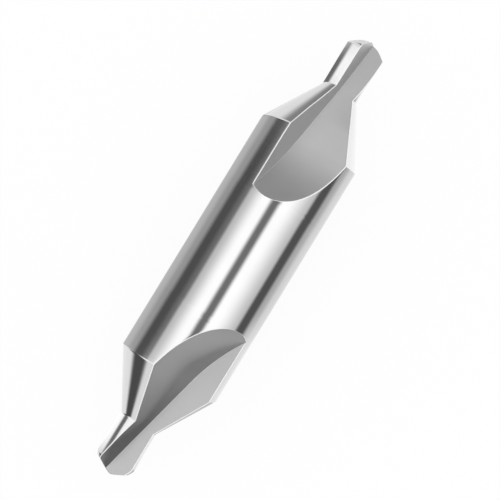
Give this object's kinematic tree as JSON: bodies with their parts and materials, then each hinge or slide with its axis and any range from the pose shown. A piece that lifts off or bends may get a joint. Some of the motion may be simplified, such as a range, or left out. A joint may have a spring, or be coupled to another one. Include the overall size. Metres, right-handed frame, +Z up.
{
  "type": "centre drill",
  "caption": "Double-ended straight-flute centre drill in bright ground steel: cylindrical body, and a relieved cone and pilot with drill point at each end.",
  "frame": {"origin": "on the drill's axis, in the middle of the cylindrical body", "axes": "+X along the drill's axis to one point, +Z up, square to the axis"},
  "size_m": [0.069, 0.015, 0.015],
  "materials": {
    "ground_steel": "bright ground high-speed steel: polished body, cones and pilots, and satin ground flutes"
  },
  "bodies": {
    "root": {"centre_drill": "ground_steel"}
  },
  "joints": []
}
